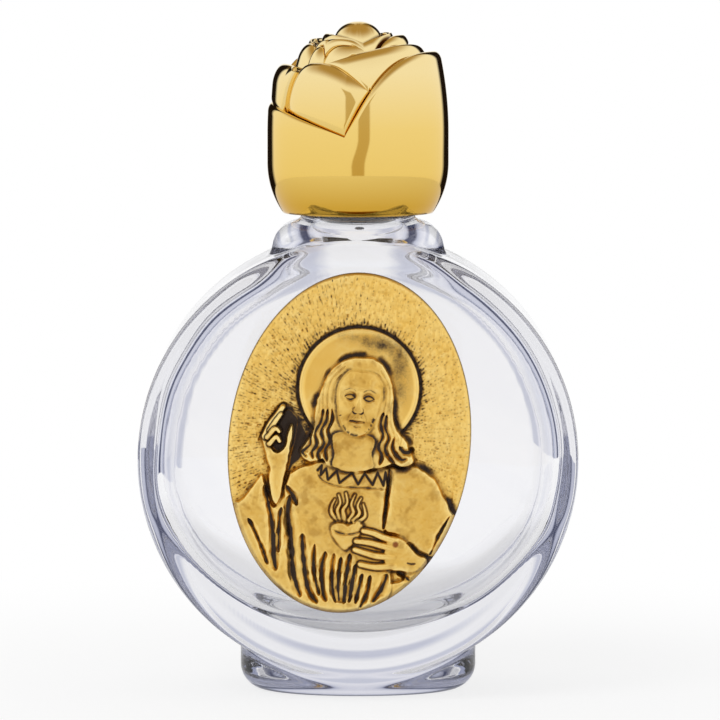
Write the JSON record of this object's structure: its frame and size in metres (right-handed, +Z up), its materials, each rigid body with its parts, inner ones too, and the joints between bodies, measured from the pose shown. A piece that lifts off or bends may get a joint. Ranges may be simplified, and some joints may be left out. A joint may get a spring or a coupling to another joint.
{
  "type": "holy water bottle",
  "caption": "Round flat clear glass bottle on an oval foot, with a gold rose-shaped screw cap and an oval cast relief plaque on its front, for carrying a little water.",
  "frame": {"origin": "centre of the oval foot on the ground plane, on the bottle's own axis", "axes": "+Z up along the neck axis, -Y is the front panel with the plaque, +X is to the right seen from the front"},
  "size_m": [0.044, 0.0221, 0.0675],
  "materials": {
    "clear_glass": "clear moulded flint glass, fire polished",
    "gold_metallised": "vacuum-metallised gold under clear lacquer",
    "sleeve_plastic": "natural white moulded",
    "liner_foam": "soft white foam",
    "antique_gold": "cast, gold plated, dark patina in the recesses",
    "clear_adhesive": "cloudy adhesive pad"
  },
  "bodies": {
    "bottle": {"glass_flask": "clear_glass", "plaque": "antique_gold", "plaque_adhesive": "clear_adhesive"},
    "liner": {"cap_liner": "liner_foam"},
    "cap": {"rose_shell": "gold_metallised", "cap_insert": "sleeve_plastic"}
  },
  "joints": [
    {"name": "cap_rise", "type": "slide", "parent": "bottle", "child": "liner", "axis": [0, 0, 1], "range_m": [0, 0.009]},
    {"name": "cap_turn", "type": "hinge", "parent": "liner", "child": "cap", "pos_m": [0, 0, 0.055], "axis": [0, 0, 1], "range_deg": [0, 1080]}
  ],
  "couplings": [
    {"joint": "cap_rise", "follows": "cap_turn", "m_per_rad": 0.00047746}
  ]
}
